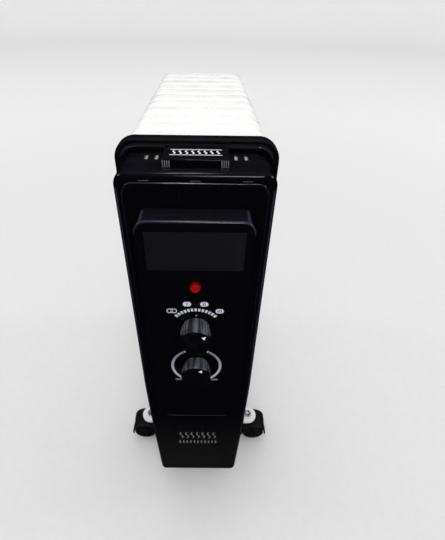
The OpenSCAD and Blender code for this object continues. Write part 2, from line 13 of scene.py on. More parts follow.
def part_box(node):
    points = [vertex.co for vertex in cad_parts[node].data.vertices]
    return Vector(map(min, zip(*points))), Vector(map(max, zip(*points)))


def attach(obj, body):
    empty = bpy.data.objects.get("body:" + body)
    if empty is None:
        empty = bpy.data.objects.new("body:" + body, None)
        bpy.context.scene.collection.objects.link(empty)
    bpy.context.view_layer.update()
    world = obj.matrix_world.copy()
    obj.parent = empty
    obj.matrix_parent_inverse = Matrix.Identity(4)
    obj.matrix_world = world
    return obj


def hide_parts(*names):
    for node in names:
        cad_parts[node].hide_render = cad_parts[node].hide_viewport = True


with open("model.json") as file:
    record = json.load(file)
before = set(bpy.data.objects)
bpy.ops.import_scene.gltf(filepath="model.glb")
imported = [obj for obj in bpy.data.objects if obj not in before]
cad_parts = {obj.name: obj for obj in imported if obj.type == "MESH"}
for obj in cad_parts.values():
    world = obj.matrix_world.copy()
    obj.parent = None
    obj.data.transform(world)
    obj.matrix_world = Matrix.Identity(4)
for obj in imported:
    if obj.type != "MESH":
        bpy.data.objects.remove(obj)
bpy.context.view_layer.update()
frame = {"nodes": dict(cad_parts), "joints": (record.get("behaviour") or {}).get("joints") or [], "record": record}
nodes = frame["nodes"]
slot_of = {part["node"]: part["material_slot"] for part in frame["record"]["subparts"]}
MM = 0.001


def box_mm(node):
    """Lowest and highest corner of a CAD node, in millimetres."""
    low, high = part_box(node)
    return [c / MM for c in low], [c / MM for c in high]


# ------------------------ places taken from the frame

FIN_LOW, FIN_HIGH = box_mm("fin_01")
SHELL_LOW, SHELL_HIGH = box_mm("front_shell")
LIP_LOW, LIP_HIGH = box_mm("rear_housing")
CONSOLE_LOW, CONSOLE_HIGH = box_mm("console")
FRONT, PANEL = SHELL_LOW[1], CONSOLE_LOW[1]


def joint_place(name):
    """Position of a joint, in millimetres."""
    joint = next(j for j in frame["joints"] if j["name"] == name)
    return [c / MM for c in joint["pos_m"]]


SELECTOR_Z = joint_place("selector_turn")[2]
THERMOSTAT_Z = joint_place("thermostat_turn")[2]


# ------------------------ materials

class Shader:
    """A Principled material with small helpers for its procedural nodes."""

    def __init__(self, name, base, rough, metallic=0.0, specular=0.5):
        self.material = bpy.data.materials.new(name)
        self.material.use_nodes = True
        self.tree = self.material.node_tree
        self.bsdf = self.tree.nodes["Principled BSDF"]
        self.set("Base Color", (*base, 1))
        self.set("Roughness", rough)
        self.set("Metallic", metallic)
        self.set("Specular IOR Level", specular)
        self.place = self.tree.nodes.new("ShaderNodeTexCoord").outputs["Object"]

    def set(self, key, value):
        self.bsdf.inputs[key].default_value = value

    def link(self, output, socket):
        self.tree.links.new(output, socket)

    def noise(self, scale, detail=3.0, stretch=(1, 1, 1), distortion=0.0):
        """Noise over the object, scale in features per metre."""
        mapping = self.tree.nodes.new("ShaderNodeMapping")
        mapping.inputs["Scale"].default_value = stretch
        texture = self.tree.nodes.new("ShaderNodeTexNoise")
        texture.inputs["Scale"].default_value = scale
        texture.inputs["Detail"].default_value = detail
        texture.inputs["Distortion"].default_value = distortion
        self.link(self.place, mapping.inputs["Vector"])
        self.link(mapping.outputs["Vector"], texture.inputs["Vector"])
        return texture.outputs["Fac"]

    def cells(self, scale):
        """Distance to the nearest point of a random pattern."""
        texture = self.tree.nodes.new("ShaderNodeTexVoronoi")
        texture.inputs["Scale"].default_value = scale
        self.link(self.place, texture.inputs["Vector"])
        return texture.outputs["Distance"]

    def ramp(self, value, low, high, out_low=0.0, out_high=1.0):
        """Maps value between low and high to the two outputs, smoothly and clamped."""
        node = self.tree.nodes.new("ShaderNodeMapRange")
        node.interpolation_type = "SMOOTHSTEP"
        for key, number in zip(("From Min", "From Max", "To Min", "To Max"), (low, high, out_low, out_high)):
            node.inputs[key].default_value = number
        self.link(value, node.inputs["Value"])
        return node.outputs["Result"]

    def mix(self, factor, first, second):
        """Mixes two colours, or a colour socket and a colour, by factor."""
        node = self.tree.nodes.new("ShaderNodeMix")
        node.data_type = "RGBA"
        self.link(factor, node.inputs["Factor"])
        for key, value in ((6, first), (7, second)):
            if isinstance(value, tuple):
                node.inputs[key].default_value = (*value, 1)
            else:
                self.link(value, node.inputs[key])
        return node.outputs[2]

    def add(self, first, second, operation="ADD"):
        """Adds two values, or joins them by another operation of the Math node."""
        node = self.tree.nodes.new("ShaderNodeMath")
        node.operation = operation
        for key, value in enumerate((first, second)):
            if isinstance(value, (int, float)):
                node.inputs[key].default_value = value
            else:
                self.link(value, node.inputs[key])
        return node.outputs[0]

    def part_of(self, vector, axis):
        """One of a vector's three numbers."""
        split = self.tree.nodes.new("ShaderNodeSeparateXYZ")
        self.link(vector, split.inputs[0])
        return split.outputs[axis]

    def normal(self, axis):
        """One of the three numbers of the surface's normal."""
        return self.part_of(self.tree.nodes.new("ShaderNodeNewGeometry").outputs["Normal"], axis)

    def near_floor(self, low, high):
        """1 at the lower height and 0 at the upper one, in metres."""
        return self.ramp(self.part_of(self.place, "Z"), low, high, 1.0, 0.0)

    def facing_up(self, low=0.45, high=0.98):
        """1 where the surface looks up and 0 where it looks sideways or down."""
        return self.ramp(self.normal("Z"), low, high)

    def facing_forward(self):
        """1 where the surface looks along -Y and 0 where it looks sideways or back."""
        return self.ramp(self.normal("Y"), -0.85, -0.15, 1.0, 0.0)

    def base(self, socket):
        self.link(socket, self.bsdf.inputs["Base Color"])

    def rough(self, socket):
        self.link(socket, self.bsdf.inputs["Roughness"])

    def bump(self, height, depth, strength=1.0):
        """Bump of the given depth in metres."""
        node = self.tree.nodes.new("ShaderNodeBump")
        node.inputs["Distance"].default_value = depth
        node.inputs["Strength"].default_value = strength
        self.link(height, node.inputs["Height"])
        self.link(node.outputs["Normal"], self.bsdf.inputs["Normal"])


def enamel(name="white_enamel", level=1.0):
    """White baked enamel: orange peel, faint clouding and a little dust."""
    shades = (0.985, 0.985, 0.98), (0.965, 0.965, 0.957)
    clean, cloudy = [tuple(c * level for c in shade) for shade in shades]
    s = Shader(name, clean, 0.25, specular=0.2)
    s.base(s.mix(s.ramp(s.noise(9, 4), 0.35, 0.7), clean, cloudy))
    s.rough(s.add(s.ramp(s.noise(35, 5), 0.3, 0.7, 0.22, 0.34),
                  s.ramp(s.noise(900, 2), 0.62, 0.8, 0.0, 0.12)))
    s.bump(s.add(s.noise(420, 2), s.add(s.noise(1500, 1), 0.25, "MULTIPLY")), 0.00007)
    return s.material


def gloss_black(name="gloss_black", specular=0.3, level=1.0):
    """Polished black moulding: slow waviness, faint smears, fine dust and hair scratches.

    It is greyer where it looks up, a painted sheen, and near the floor, a painted reflection of the floor; level
    makes all of it paler.
    """
    shades = (0.0020, 0.0018, 0.0030), (0.0056, 0.0058, 0.0086), (0.0100, 0.0095, 0.0092)
    plain, painted_top_sheen, lower = [tuple(c * level for c in shade) for shade in shades]
    s = Shader(name, plain, 0.16, specular=specular)
    dust = s.ramp(s.cells(700), 0.0, 0.10, 1.0, 0.0)
    patch = s.ramp(s.noise(22, 4), 0.52, 0.75)
    # Painted light: paler where it looks up (painted sheen) and near the floor (painted reflection of the floor).
    clean = s.mix(s.near_floor(0.06, 0.26), s.mix(s.facing_up(), plain, painted_top_sheen), lower)
    s.base(s.mix(s.add(dust, patch, "MULTIPLY"), clean, (0.012, 0.012, 0.013)))
    smear = s.ramp(s.noise(14, 6, (1, 1, 0.35), 1.2), 0.35, 0.7, 0.12, 0.21)
    scratch = s.ramp(s.noise(90, 8, (14, 14, 0.7)), 0.66, 0.72, 0.0, 0.12)
    s.rough(s.add(smear, scratch))
    s.bump(s.add(s.noise(45, 2), s.add(s.noise(1100, 2), 0.12, "MULTIPLY")), 0.00010)
    return s.material


def satin_black():
    """Black moulding with a fine spark-eroded grain, and a painted sheen where it looks up."""
    s = Shader("satin_black", (0.003, 0.003, 0.004), 0.48, specular=0.13)
    moulded = s.mix(s.ramp(s.noise(30, 5), 0.35, 0.75),
                    (0.0022, 0.0020, 0.0036), (0.0042, 0.0040, 0.0058))
    # Painted sheen: faces that look up are paler.
    s.base(s.mix(s.facing_up(0.3, 0.9), moulded, (0.0078, 0.0070, 0.0108)))
    s.rough(s.ramp(s.noise(60, 5), 0.3, 0.7, 0.42, 0.56))
    s.bump(s.add(s.noise(2600, 3), s.cells(1900), "MULTIPLY"), 0.00008)
    return s.material


def knob_black():
    """Glossy knob plastic, with grey streaks of light where it looks up."""
    s = Shader("knob_black", (0.0024, 0.0024, 0.0030), 0.2, specular=0.4)
    plastic = s.mix(s.ramp(s.noise(120, 4), 0.4, 0.75),
                    (0.0020, 0.0019, 0.0028), (0.005, 0.005, 0.006))
    streaks = s.ramp(s.noise(105, 3, (1.4, 0.15, 0.4)), 0.38, 0.62, 0.12, 1.0)
    s.base(s.mix(s.add(s.facing_up(0.5, 0.86), streaks, "MULTIPLY"), plastic, (0.120, 0.124, 0.150)))
    s.rough(s.ramp(s.noise(160, 6), 0.3, 0.7, 0.12, 0.24))
    s.bump(s.noise(1400, 3), 0.00005)
    return s.material


def inlay_grey():
    """Dark grey matt laminate with a very fine grain."""
    s = Shader("inlay_grey", (0.0055, 0.0053, 0.0080), 0.5, specular=0.15)
    grain = s.noise(3200, 2, (1, 1, 0.4))
    cloud = s.noise(18, 4)
    s.base(s.mix(s.ramp(s.add(cloud, s.add(grain, 0.4, "MULTIPLY")), 0.4, 1.0),
                 (0.0060, 0.0056, 0.0086), (0.0084, 0.0079, 0.0115)))
    s.rough(s.ramp(s.noise(40, 4), 0.3, 0.7, 0.44, 0.58))
    s.bump(grain, 0.00003)
    return s.material


def lens_red():
    """Clear red plastic with painted light and shade: brighter where it looks forward than on its side."""
    s = Shader("lens_red", (0.45, 0.004, 0.006), 0.1, specular=0.45)
    s.set("Transmission Weight", 0.12)
    s.set("IOR", 1.49)
    s.set("Emission Color", (0.9, 0.01, 0.01, 1))
    s.set("Emission Strength", 0.02)
    clouded = s.mix(s.ramp(s.noise(420, 4), 0.35, 0.65), (0.54, 0.003, 0.006), (0.30, 0.001, 0.003))
    # Painted shade on the side of the lens, painted light on its front.
    s.base(s.mix(s.facing_forward(), (0.10, 0.002, 0.006), clouded))
    s.rough(s.ramp(s.noise(500, 3), 0.3, 0.7, 0.06, 0.16))
    s.bump(s.cells(900), 0.00005)
    return s.material


def lamp_glass():
    """Warm glass of the pilot lamp behind the lens."""
    s = Shader("lamp_glass", (0.95, 0.72, 0.55), 0.06)
    s.set("Transmission Weight", 0.7)
    s.base(s.mix(s.noise(300, 3), (0.95, 0.76, 0.6), (0.85, 0.6, 0.45)))
    s.rough(s.ramp(s.noise(700, 2), 0.3, 0.7, 0.03, 0.12))
    return s.material


def metal(name, light, dark, rough, grain=(1, 1, 1), spots=0.0):
    """Metal with grain along one direction and darker spots."""
    s = Shader(name, light, rough, metallic=0.8)
    streaks = s.noise(500, 6, grain)
    stain = s.ramp(s.noise(60, 6), 0.45, 0.75, 0.0, 0.5 + spots)
    s.base(s.mix(stain, light, dark))
    s.rough(s.add(s.ramp(streaks, 0.3, 0.7, rough * 0.7, rough * 1.4),
                  s.ramp(s.noise(90, 4), 0.5, 0.8, 0.0, 0.15)))
    s.bump(streaks, 0.00003)
    return s.material


def plain_plastic(name, base, patch, rough, grain=1800, specular=0.4):
    """Moulded plastic, ceramic or rubber with clouding and a fine grain."""
    s = Shader(name, base, rough, specular=specular)
    s.base(s.mix(s.ramp(s.noise(70, 5), 0.35, 0.7), base, patch))
    s.rough(s.ramp(s.noise(110, 5), 0.3, 0.7, rough - 0.07, rough + 0.1))
    s.bump(s.noise(grain, 3), 0.00006)
    return s.material


def print_ink(name, fresh, worn):
    """Pad-printed ink, slightly uneven."""
    s = Shader(name, fresh, 0.45, specular=0.2)
    s.base(s.mix(s.ramp(s.noise(900, 5), 0.4, 0.7), fresh, worn))
    s.rough(s.ramp(s.noise(600, 3), 0.3, 0.7, 0.38, 0.55))
    s.bump(s.noise(2400, 2), 0.00002)
    return s.material


MATERIALS = {
    "white_enamel": enamel(),
    "gloss_black": gloss_black(),
    "satin_black": satin_black(),
    "knob_black": knob_black(),
    "inlay_grey": inlay_grey(),
    "lens_red": lens_red(),
    "lamp_glass": lamp_glass(),
}
METALS = {
    "zinc_steel": ((0.62, 0.62, 0.63), (0.42, 0.41, 0.40), 0.3, (6, 0.4, 6)),
    "bright_nut": ((0.50, 0.50, 0.52), (0.26, 0.26, 0.27), 0.14),
    "element_brass": ((0.70, 0.55, 0.28), (0.38, 0.26, 0.12), 0.32, (1, 1, 1), 0.3),
}
PLASTICS = {
    "white_ceramic": ((0.82, 0.79, 0.71), (0.70, 0.66, 0.58), 0.28, 900),
    "gasket_fibre": ((0.40, 0.15, 0.08), (0.28, 0.10, 0.06), 0.75, 2600),
    "wire_sleeve": ((0.45, 0.04, 0.03), (0.32, 0.03, 0.03), 0.4, 2200),
    "switch_plastic": ((0.05, 0.045, 0.04), (0.035, 0.03, 0.028), 0.45),
    "caster_black": ((0.0055, 0.0055, 0.0075), (0.010, 0.010, 0.0125), 0.33, 2300, 0.2),
    "wheel_black": ((0.006, 0.006, 0.007), (0.013, 0.013, 0.013), 0.42, 1500, 0.2),
}
MATERIALS.update({name: metal(name, *look) for name, look in METALS.items()})
MATERIALS.update({name: plain_plastic(name, *look) for name, look in PLASTICS.items()})
# Darker copy of the white enamel for the brackets: painted shade.
SHADED_BRACKET_ENAMEL = enamel("bracket_enamel_painted_shade", 0.72)
# Dark steel for the axles in place of zinc: painted shade under the hoods.
SHADED_AXLE_STEEL = metal("black_steel", (0.030, 0.030, 0.032), (0.016, 0.016, 0.017), 0.35)
# Shinier, paler copies of the gloss black; the paler base is a painted highlight.
PAINTED_RIM_HIGHLIGHT = gloss_black("rim_painted_highlight", 0.8, 6.0)
PAINTED_EDGE_HIGHLIGHT = gloss_black("edge_painted_highlight", 0.8, 12.0)
PRINT = print_ink("print_grey", (0.46, 0.47, 0.54), (0.36, 0.37, 0.43))
SCALE_PRINT = print_ink("print_white", (0.66, 0.67, 0.75), (0.54, 0.55, 0.62))
BRIGHT_PRINT = print_ink("print_bright", (0.85, 0.85, 0.86), (0.70, 0.70, 0.72))
DIM_PRINT = print_ink("print_dim", (0.17, 0.17, 0.18), (0.11, 0.11, 0.12))


# ------------------------ mesh helpers

SHARP_DEG = 38


def make_mesh(name, verts, faces, material, sharp_deg=SHARP_DEG):
    """Mesh object from millimetre vertices, with outward normals and sharp edges by angle."""
    mesh = bpy.data.meshes.new(name)
    mesh.from_pydata([(x * MM, y * MM, z * MM) for x, y, z in verts], [], faces)
    work = bmesh.new()
    work.from_mesh(mesh)
    bmesh.ops.remove_doubles(work, verts=work.verts, dist=1e-7)
    bmesh.ops.recalc_face_normals(work, faces=work.faces)
    work.to_mesh(mesh)
    work.free()
    mesh.shade_smooth()
    mesh.set_sharp_from_angle(angle=math.radians(sharp_deg))
    mesh.materials.append(material)
    piece = bpy.data.objects.new(name, mesh)
    bpy.context.scene.collection.objects.link(piece)
    return piece


def add_piece(name, shape, slot, body, stands_for=(), material=None, sharp_deg=SHARP_DEG):
    """A piece from (verts, faces) that rides on a body and may stand for CAD nodes."""
    piece = make_mesh(name, shape[0], shape[1], material or MATERIALS[slot], sharp_deg)
    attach(piece, body)
    if stands_for:
        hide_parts(*stands_for)
    return piece


def join(*shapes):
    """One (verts, faces) from several."""
    verts, faces = [], []
    for more_verts, more_faces in shapes:
        start = len(verts)
        verts += more_verts
        faces += [tuple(start + i for i in face) for face in more_faces]
    return verts, faces


def moved(shape, x=0, y=0, z=0):
    """Shape moved by x, y and z."""
    return [(a + x, b + y, c + z) for a, b, c in shape[0]], shape[1]


def mapped(shape, place):
    """Shape with each vertex put through place(x, y, z)."""
    return [place(*v) for v in shape[0]], shape[1]


def loft(rings, cap_first=True, cap_last=True, ring_closed=False):
    """Skin over rings of equal length; ring_closed joins the last ring to the first."""
    count = len(rings[0])
    verts = [v for ring in rings for v in ring]
    faces = []
    spans = len(rings) if ring_closed else len(rings) - 1
    for k in range(spans):
        a, b = k * count, (k + 1) % len(rings) * count
        for i in range(count):
            j = (i + 1) % count
            faces.append((a + i, a + j, b + j, b + i))
    if cap_first and not ring_closed:
        faces.append(tuple(range(count)))
    if cap_last and not ring_closed:
        faces.append(tuple(range(len(verts) - count, len(verts))))
    return verts, faces


def arc_points(x, z, r, start, end, steps):
    """Points of an arc round (x, z), in degrees anticlockwise from +X."""
    return [(x + r * math.cos(math.radians(start + (end - start) * k / steps)),
             z + r * math.sin(math.radians(start + (end - start) * k / steps))) for k in range(steps + 1)]


def split_sides(points, longest):
    """Adds points so that no step is longer than longest."""
    full = []
    for k, (x, z) in enumerate(points):
        nx, nz = points[(k + 1) % len(points)]
        parts = max(1, math.ceil(math.hypot(nx - x, nz - z) / longest))
        full += [(x + (nx - x) * i / parts, z + (nz - z) * i / parts) for i in range(parts)]
    return full


def rounded_rect(w, low, high, r, steps=8):
    """Outline of a rounded rectangle between heights low and high."""
    x = w / 2 - r
    return (arc_points(x, low + r, r, -90, 0, steps) + arc_points(x, high - r, r, 0, 90, steps)
            + arc_points(-x, high - r, r, 90, 180, steps) + arc_points(-x, low + r, r, 180, 270, steps))


def outline_loft(outline, section, **kind):
    """Skin over an outline: section is a list of (inset, y), outline(inset) gives (x, z) points."""
    return loft([[(x, y, z) for x, z in outline(inset)] for inset, y in section], **kind)


def lathe_y(x, z, profile, steps=64, radius=None, **kind):
    """Turned shape round an axis along Y; profile is (radius, y), radius(r, y, angle) may shape it."""
    rings = []
    for r, y in profile:
        ring = []
        for k in range(steps):
            a = 2 * math.pi * k / steps
            size = radius(r, y, a) if radius else r
            ring.append((x + size * math.sin(a), y, z + size * math.cos(a)))
        rings.append(ring)
    return loft(rings, **kind)


def rounded_corner(inset_from, inset_to, y_from, y_to, steps, bulge=True):
    """(inset, y) points on a quarter ellipse between two places of a section."""
    points = []
    for k in range(steps + 1):
        a = math.pi / 2 * k / steps
        u = 1 - math.cos(a) if bulge else math.sin(a)
        v = math.sin(a) if bulge else 1 - math.cos(a)
        points.append((inset_from + (inset_to - inset_from) * u, y_from + (y_to - y_from) * v))
    return points


def soft_box(low, high, r=0.6):
    """Box with rounded edges, from low to high corner."""
    (x0, y0, z0), (x1, y1, z1) = low, high
    r = min(r, (x1 - x0) / 3, (y1 - y0) / 3, (z1 - z0) / 3)
    mid_x = (x0 + x1) / 2

    def outline(inset):
        corner = max(r - inset * 0.5, r * 0.4)
        return [(mid_x + x, z) for x, z in
                rounded_rect(x1 - x0 - 2 * inset, z0 + inset, z1 - inset, corner, 3)]
    section = rounded_corner(r, 0, y0, y0 + r, 3, False) + rounded_corner(0, r, y1 - r, y1, 3)
    return outline_loft(outline, section)


# ------------------------ fins

FIN_W = FIN_HIGH[0] - FIN_LOW[0]
FIN_Z0, FIN_Z1 = FIN_LOW[2], FIN_HIGH[2]
CAP_D = box_mm("fin_11")[1][1] - box_mm("fin_11")[0][1]
FIN_R = 18
SHEET_D = 0.5
CHANNEL_D = 14
CHANNEL_SLOPE = 6.5
HEADER_INSET = 48
HEADERS = (FIN_Z0 + HEADER_INSET, FIN_Z1 - HEADER_INSET)
HEADER_W, HEADER_H, HEADER_R = 112, 64, 18
RISERS = (-40, 0, 40)
RISER_W = 24
NECK_R = 22
PITCH = 40
BOTTOM_LIP_D = 14


def fin_outline(inset):
    """Outline of a fin, drawn in by inset."""
    return split_sides(rounded_rect(FIN_W - 2 * inset, FIN_Z0 + inset, FIN_Z1 - inset, FIN_R - inset, 8), 60)


def fin_edge():
    """Folded edge all round, deep on top and sides and narrow below, with hemmed rims."""
    half = CAP_D / 2
    outer = [(2.6, -half + 1.1), (1.9, -half + 0.3), (1.1, -half), (0.4, -half + 0.35), (0.1, -half + 1.0),
             (0.0, -half + 2.2), (0.0, half - 2.2), (0.1, half - 1.0), (0.4, half - 0.35), (1.1, half),
             (1.9, half - 0.3), (2.6, half - 1.1)]
    inner = [(2.2, half - 1.7), (1.3, half - 1.5), (0.8, half - 2.4), (0.7, -half + 2.4), (1.3, -half + 1.5),
             (2.2, -half + 1.7)]
    shape = outline_loft(fin_outline, outer + inner, ring_closed=True)
    narrow = BOTTOM_LIP_D / CAP_D

    def place(x, y, z):
        rise = min(1.0, max(0.0, (z - FIN_Z0 - 3) / (FIN_R + 2)))
        return x, y * (narrow + (1 - narrow) * rise * rise * (3 - 2 * rise)), z
    return mapped(shape, place)


def rounded_box_distance(x, z, cx, cz, w, h, r):
    """Signed distance to a rounded rectangle round (cx, cz), negative inside."""
    dx, dz = abs(x - cx) - w / 2 + r, abs(z - cz) - h / 2 + r
    return math.hypot(max(dx, 0), max(dz, 0)) + min(max(dx, dz), 0) - r


def channel_distance(x, z):
    """Signed distance to the outline of the oil channels, negative inside."""
    near = [rounded_box_distance(x, z, 0, header, HEADER_W, HEADER_H, HEADER_R) for header in HEADERS]
    middle, length = sum(HEADERS) / 2, HEADERS[1] - HEADERS[0]
    near += [rounded_box_distance(x, z, riser, middle, RISER_W, length, 1) for riser in RISERS]
    return min(near)


def channel_height(x, z):
    """How far the sheet stands off the fin's middle plane."""
    t = min(1.0, max(0.0, -channel_distance(x, z) / CHANNEL_SLOPE))
    return SHEET_D + (CHANNEL_D / 2 - SHEET_D) * t * t * (3 - 2 * t)


def grid_lines(edges, low, high, fine, coarse, reach):
    """Positions from low to high, spaced finely near the edges and coarsely elsewhere."""
    lines, place = [low], low
    while place < high - fine / 2:
        close = min(abs(place + fine / 2 - e) for e in edges) < reach
        place += fine if close else min(coarse, max(fine, min((e - reach - place for e in edges
                                                               if e - reach > place), default=coarse)))
        lines.append(min(place, high))
    if lines[-1] < high:
        lines.append(high)
    return lines


def fin_sheet(side, fine):
    """One pressed sheet of a fin: flat web with raised oil channels."""
    inset = 0.35
    half_w, radius = FIN_W / 2 - inset, FIN_R - inset
    x_edges = [s * e for s in (-1, 1) for e in (56, 52, 28, 12)]
    z_edges = [header + e for header in HEADERS for e in (-32, -20, 20, 32)]
    xs = grid_lines(x_edges, -half_w, half_w, fine, 8, 8)
    zs = grid_lines(z_edges, FIN_Z0 + inset, FIN_Z1 - inset, fine, 24, 12)

    def inside(x, z):
        """Pulls corner points in to the rounded outline."""
        mid_z, half_h = (FIN_Z0 + FIN_Z1) / 2, (FIN_Z1 - FIN_Z0) / 2 - inset
        dx, dz = abs(x) - (half_w - radius), abs(z - mid_z) - (half_h - radius)
        reach = math.hypot(dx, dz)
        if dx > 0 and dz > 0 and reach > radius:
            x = math.copysign(half_w - radius + dx * radius / reach, x)
            z = mid_z + math.copysign(half_h - radius + dz * radius / reach, z - mid_z)
        return x, z
    verts = []
    for z in zs:
        for x in xs:
            px, pz = inside(x, z)
            verts.append((px, side * channel_height(px, pz), pz))
    wide = len(xs)
    faces = [(r * wide + c, r * wide + c + 1, (r + 1) * wide + c + 1, (r + 1) * wide + c)
             for r in range(len(zs) - 1) for c in range(wide - 1)]
    if side < 0:
        faces = [face[::-1] for face in faces]
    return verts, faces


def neck(side, z, r, reach, closed=False):
    """Pressed neck on a fin's face, with a filleted foot."""
    foot = CHANNEL_D / 2
    profile = [(r + 4.5, foot - 0.4), (r + 2.2, foot + 0.3), (r + 0.8, foot + 1.3),
               (r, foot + 3.2), (r, reach)]
    return lathe_y(0, z, [(size, side * y) for size, y in profile], 48, cap_first=False, cap_last=closed)


def fin_shape(front_necks, back_necks, fine):
    """Whole fin round its middle plane; each neck is (z, radius, reach)."""
    parts = [fin_edge(), fin_sheet(-1, fine), fin_sheet(1, fine)]
    parts += [neck(-1, *args) for args in front_necks]
    parts += [neck(1, *args) for args in back_necks]
    return join(*parts)


def build_fins():
    """Fins with necks that meet halfway; the first and the last one end in stubs."""
    joined = [(z, NECK_R, PITCH / 2) for z in HEADERS]
    names = sorted(n for n in nodes if n.startswith("fin_"))
    for k, name in enumerate(names):
        centre = box_mm(name)[1][1] - CAP_D / 2
        front = joined if k > 0 else [(HEADERS[0], NECK_R, 15.3), (HEADERS[1], 6, 15.3)]
        last = k == len(names) - 1
        back = [(HEADERS[1], 9, 11)] if last else joined
        shape = moved(fin_shape(front, back, 2.2 if last else 4.0), y=centre)
        add_piece(name + "_sheet", shape, "white_enamel", "heater", [name], sharp_deg=50)


# ------------------------ control housing

SHELL_TAPER = 8.4
TAPER_TOP = 310
TAPER_POWER = 1.35
SHELL_W = SHELL_HIGH[0] - SHELL_LOW[0]
SHELL_Z0, SHELL_Z1 = SHELL_LOW[2], SHELL_HIGH[2]
TOP_SLOTS = (-49, -39, 39, 49)
FRONT_SLOTS = (-47.5, 0, 47.5)
RECESS = 0.4


def shell_half(z):
    """Half the shell's width at a height."""
    if z >= TAPER_TOP:
        return SHELL_W / 2
    return SHELL_W / 2 - SHELL_TAPER * ((TAPER_TOP - z) / (TAPER_TOP - SHELL_Z0)) ** TAPER_POWER


def side_inset(inset, z):
    """The shoulder's inset at the sides, tighter towards the bottom."""
    return inset * (0.55 + 0.45 * min(1.0, max(0.0, (z - 150) / 180)))


def shell_outline(inset):
    """Outline of the front shell: round top corners and sides that narrow to the bottom."""
    top_r, low_r, steps = 14 - inset / 2, 2.5, 24
    half_top, top, low = SHELL_W / 2 - inset, SHELL_Z1 - inset, SHELL_Z0 + 0.05 * inset
    half_low = shell_half(low + low_r) - side_inset(inset, low + low_r)
    rises = [low + low_r + (TAPER_TOP + 30 - low - low_r) * (k + 1) / steps for k in range(steps)]
    right = [(shell_half(z) - side_inset(inset, z), z) for z in rises]
    left = [(-x, z) for x, z in reversed(right)]
    return (arc_points(half_low - low_r, low + low_r, low_r, -90, 0, 6) + right
            + arc_points(half_top - top_r, top - top_r, top_r, 0, 90, 14)
            + arc_points(-half_top + top_r, top - top_r, top_r, 90, 180, 14) + left
            + arc_points(-half_low + low_r, low + low_r, low_r, 180, 270, 6))


def carve(piece, cutters):
    """Cuts the cutter shapes out of a piece for good."""
    tools = [make_mesh("cutter", verts, faces, piece.data.materials[0]) for verts, faces in cutters]
    for tool in tools:
        cut = piece.modifiers.new("cut", "BOOLEAN")
        cut.operation = "DIFFERENCE"
        cut.solver = "EXACT"
        cut.object = tool
    bpy.context.view_layer.update()
    result = bpy.data.meshes.new_from_object(piece.evaluated_get(bpy.context.evaluated_depsgraph_get()))
    piece.modifiers.clear()
    piece.data = result
    result.set_sharp_from_angle(angle=math.radians(SHARP_DEG))
    for tool in tools:
        bpy.data.objects.remove(tool)


def paint_highlight_on(piece, material, chosen):
    """Gives the faces for which chosen(centre, normal) holds a shinier and paler material; its paler base is a
    painted highlight.
    """
    piece.data.materials.append(material)
    index = len(piece.data.materials) - 1
    for face in piece.data.polygons:
        if chosen(face.center / MM, face.normal):
            face.material_index = index


def plain_box(low, high):
    """Box with sharp edges, from low to high corner."""
    (x0, y0, z0), (x1, y1, z1) = low, high
    verts = [(x, y, z) for z in (z0, z1) for y in (y0, y1) for x in (x0, x1)]
    return verts, [(0, 1, 3, 2), (4, 6, 7, 5), (0, 4, 5, 1), (2, 3, 7, 6), (0, 2, 6, 4), (1, 5, 7, 3)]


def build_front_shell():
    """Hollow shell with a raised front rim, air slots on top and pale baffles behind them."""
    back = SHELL_HIGH[1]
    section = [(2.6, back), (0.7, back), (0.2, back - 0.3), (0, back - 1), (0, FRONT + 16)]
    section += rounded_corner(0, 7.6, FRONT + 9, FRONT + 1.3, 12)
    section += [(8.0, FRONT + 1.7), (8.4, FRONT + 1.6), (8.7, FRONT + 0.9)]
    section += rounded_corner(8.8, 10.0, FRONT + 0.8, FRONT, 4)
    inner = [(8, FRONT + 3.8), (4.5, FRONT + 5.4), (2.6, FRONT + 10)]
    outer = outline_loft(shell_outline, section, cap_first=False)
    lining = outline_loft(shell_outline, inner + [(2.6, back)], cap_last=False)
    shell = add_piece("front_shell_moulding", join(outer, lining), "gloss_black", "heater", ["front_shell"])
    slots = [plain_box((x - 1.5, FRONT + 37, SHELL_Z1 - 10), (x + 1.5, FRONT + 55, SHELL_Z1 + 10))
             for x in TOP_SLOTS]
    slots += [plain_box((x - 5, FRONT - 2, SHELL_Z1 - 8.4), (x + 5, FRONT + 9, SHELL_Z1 - 6.6))
              for x in FRONT_SLOTS]
    carve(shell, slots)

    def top_rim(at, n):
        return FRONT + 0.01 < at.y < FRONT + 1 and at.z > SHELL_Z1 - 26 and n.y > -0.98

    def side_shoulders(at, n):
        return FRONT + 1.2 < at.y < FRONT + 9 and at.z < SHELL_Z1 - 40 and 0.5 < abs(n.x) < 0.72
    # Painted highlights: a paler copy of the gloss black on the raised rim's top corners and along the side
    # shoulders.
    paint_highlight_on(shell, PAINTED_RIM_HIGHLIGHT, top_rim)
    paint_highlight_on(shell, PAINTED_EDGE_HIGHLIGHT, side_shoulders)
    baffles = [soft_box((x - 9, FRONT + 35.5, SHELL_Z1 - 4.4), (x + 9, FRONT + 56.5, SHELL_Z1 - 2.7), 0.4)
               for x in (-45, 45)]
    baffles += [soft_box((x - 6, FRONT + 5.6, SHELL_Z1 - 11), (x + 6, FRONT + 7, SHELL_Z1 - 4.6), 0.4)
                for x in FRONT_SLOTS]
    add_piece("slot_baffles", join(*baffles), "white_ceramic", "heater")


